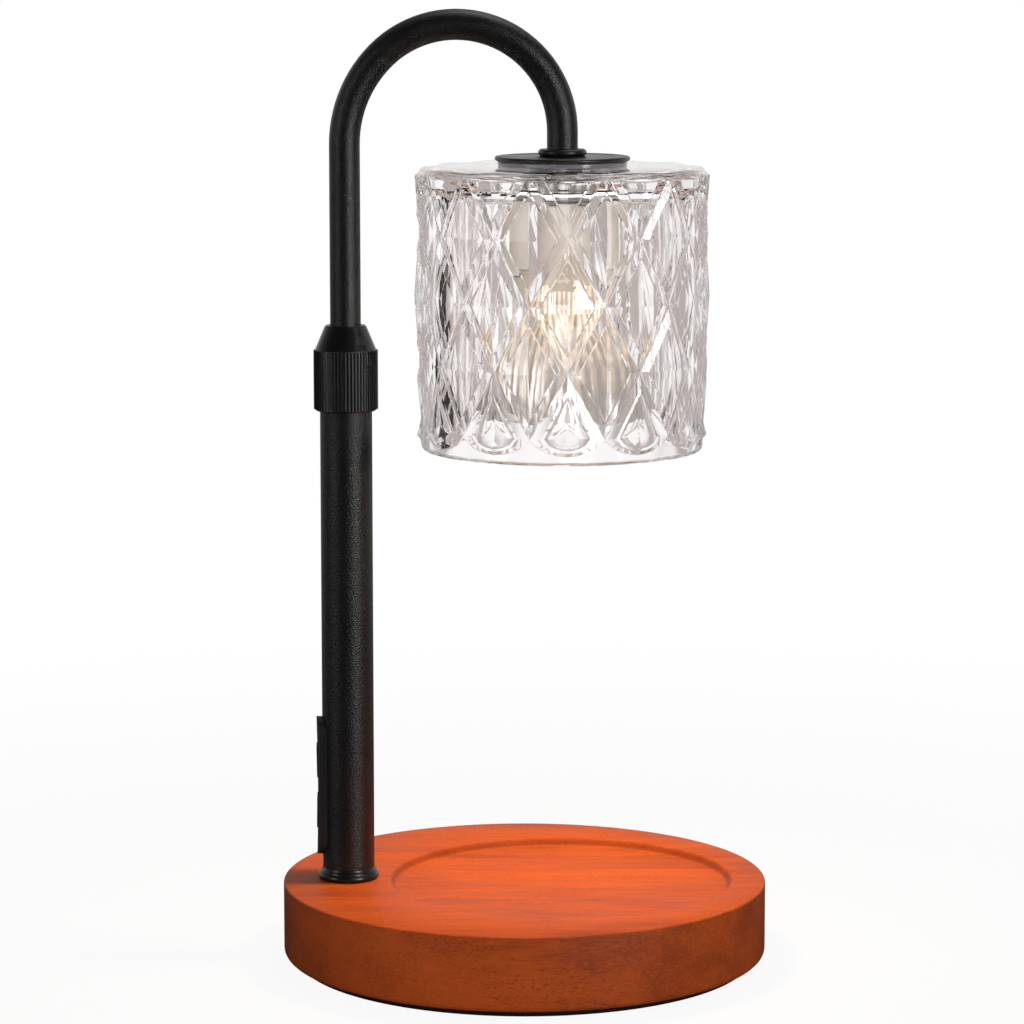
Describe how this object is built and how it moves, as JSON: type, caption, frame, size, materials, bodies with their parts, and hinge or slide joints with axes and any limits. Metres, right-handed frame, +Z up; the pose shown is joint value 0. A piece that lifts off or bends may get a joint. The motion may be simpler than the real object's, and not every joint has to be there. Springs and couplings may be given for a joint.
{
  "type": "candle warmer lamp",
  "caption": "Candle warmer lamp: round wooden base with a shallow candle seat, height-adjustable gooseneck with a knurled locking collar, and a diamond-pressed glass shade over a halogen bulb.",
  "frame": {"origin": "centre of the round base's underside, on the foam pad", "axes": "+Z up, +X from the column towards the candle seat, +Y to the back where the cable inlet is"},
  "size_m": [0.15, 0.15, 0.2938],
  "materials": {
    "base_wood": "stained and satin varnished, reddish brown",
    "pad_foam": "closed-cell foam sheet, matt black",
    "bush_rubber": "moulded rubber, black",
    "pale_plastic": "moulded, off-white",
    "plated_steel": "zinc plated",
    "turned_brass": "turned",
    "lead_sheath": "smooth flexible sheath, black",
    "powder_coat": "fine textured powder coat, black",
    "collar_black": "satin black on knurled metal",
    "panel_plastic": "fine matt moulding, black",
    "key_rubber": "soft-touch silicone, black",
    "switch_plastic": "moulded, black",
    "board_laminate": "solder mask, green",
    "light_guide": "clear moulded light guide",
    "natural_nylon": "natural nylon",
    "clear_silicone": "translucent silicone",
    "pressed_glass": "clear pressed glass, fire polished",
    "holder_ceramic": "unglazed cream ceramic",
    "bulb_ceramic": "white ceramic",
    "reflector_glass": "faceted dichroic reflector, lit warm",
    "lens_glass": "clear front glass",
    "capsule_glass": "quartz capsule, lit warm"
  },
  "bodies": {
    "root": {"wood_base": "base_wood", "foam_pad": "pad_foam", "cable_bush": "bush_rubber", "terminal_block": "pale_plastic", "terminal_screws": "plated_steel", "base_lead": "lead_sheath", "column_nipple": "plated_steel", "column_washer": "plated_steel", "column_nut": "plated_steel", "column_plug": "turned_brass", "column_tube": "powder_coat", "foot_ring": "powder_coat", "control_bezel": "panel_plastic", "control_board": "board_laminate", "board_screws": "plated_steel", "tact_switches": "switch_plastic", "indicator_led": "light_guide", "light_pipe": "light_guide", "clamp_bush": "turned_brass", "slack_lead": "lead_sheath"},
    "power_key": {"power_key_cap": "key_rubber"},
    "timer_key": {"timer_key_cap": "key_rubber"},
    "collet": {"clamp_collet": "natural_nylon"},
    "collar": {"locking_collar": "collar_black"},
    "slider": {"guide_bush": "natural_nylon", "friction_ring": "bush_rubber"},
    "arm": {"gooseneck_tube": "powder_coat", "guide_clips": "plated_steel", "arm_lead": "lead_sheath", "arm_flange": "powder_coat", "shade_cap": "powder_coat", "shade_gasket": "clear_silicone", "lower_gasket": "clear_silicone", "arm_nipple": "plated_steel", "holder_bracket": "plated_steel", "shade_nut": "plated_steel", "glass_shade": "pressed_glass", "lamp_holder": "holder_ceramic", "holder_screws": "plated_steel", "contact_springs": "turned_brass", "holder_wires": "lead_sheath"},
    "bulb": {"bulb_base": "bulb_ceramic", "bulb_pins": "plated_steel", "bulb_reflector": "reflector_glass", "bulb_lens": "lens_glass", "bulb_capsule": "capsule_glass"}
  },
  "joints": [
    {"name": "power_press", "type": "slide", "parent": "root", "child": "power_key", "axis": [1, 0, 0], "range_m": [0, 0.0004], "stiffness_N_per_m": 500, "springref_m": -0.001},
    {"name": "timer_press", "type": "slide", "parent": "root", "child": "timer_key", "axis": [1, 0, 0], "range_m": [0, 0.0004], "stiffness_N_per_m": 500, "springref_m": -0.001},
    {"name": "collar_lift", "type": "slide", "parent": "root", "child": "collet", "axis": [0, 0, 1], "range_m": [0, 0.0005]},
    {"name": "collar_turn", "type": "hinge", "parent": "collet", "child": "collar", "pos_m": [-0.0548, 0, 0.18], "axis": [0, 0, 1], "range_deg": [0, 180]},
    {"name": "arm_height", "type": "slide", "parent": "root", "child": "slider", "axis": [0, 0, 1], "range_m": [-0.05, 0.015], "deforming": ["slack_lead"]},
    {"name": "arm_swivel", "type": "hinge", "parent": "slider", "child": "arm", "pos_m": [-0.0548, 0, 0.141], "axis": [0, 0, 1], "range_deg": [-90, 90]},
    {"name": "bulb_twist", "type": "hinge", "parent": "arm", "child": "bulb", "pos_m": [0.0114, 0, 0.2], "axis": [0, 0, -1], "range_deg": [0, 20]}
  ],
  "couplings": [
    {"joint": "collar_turn", "follows": "collar_lift", "rad_per_m": 6283.2}
  ]
}
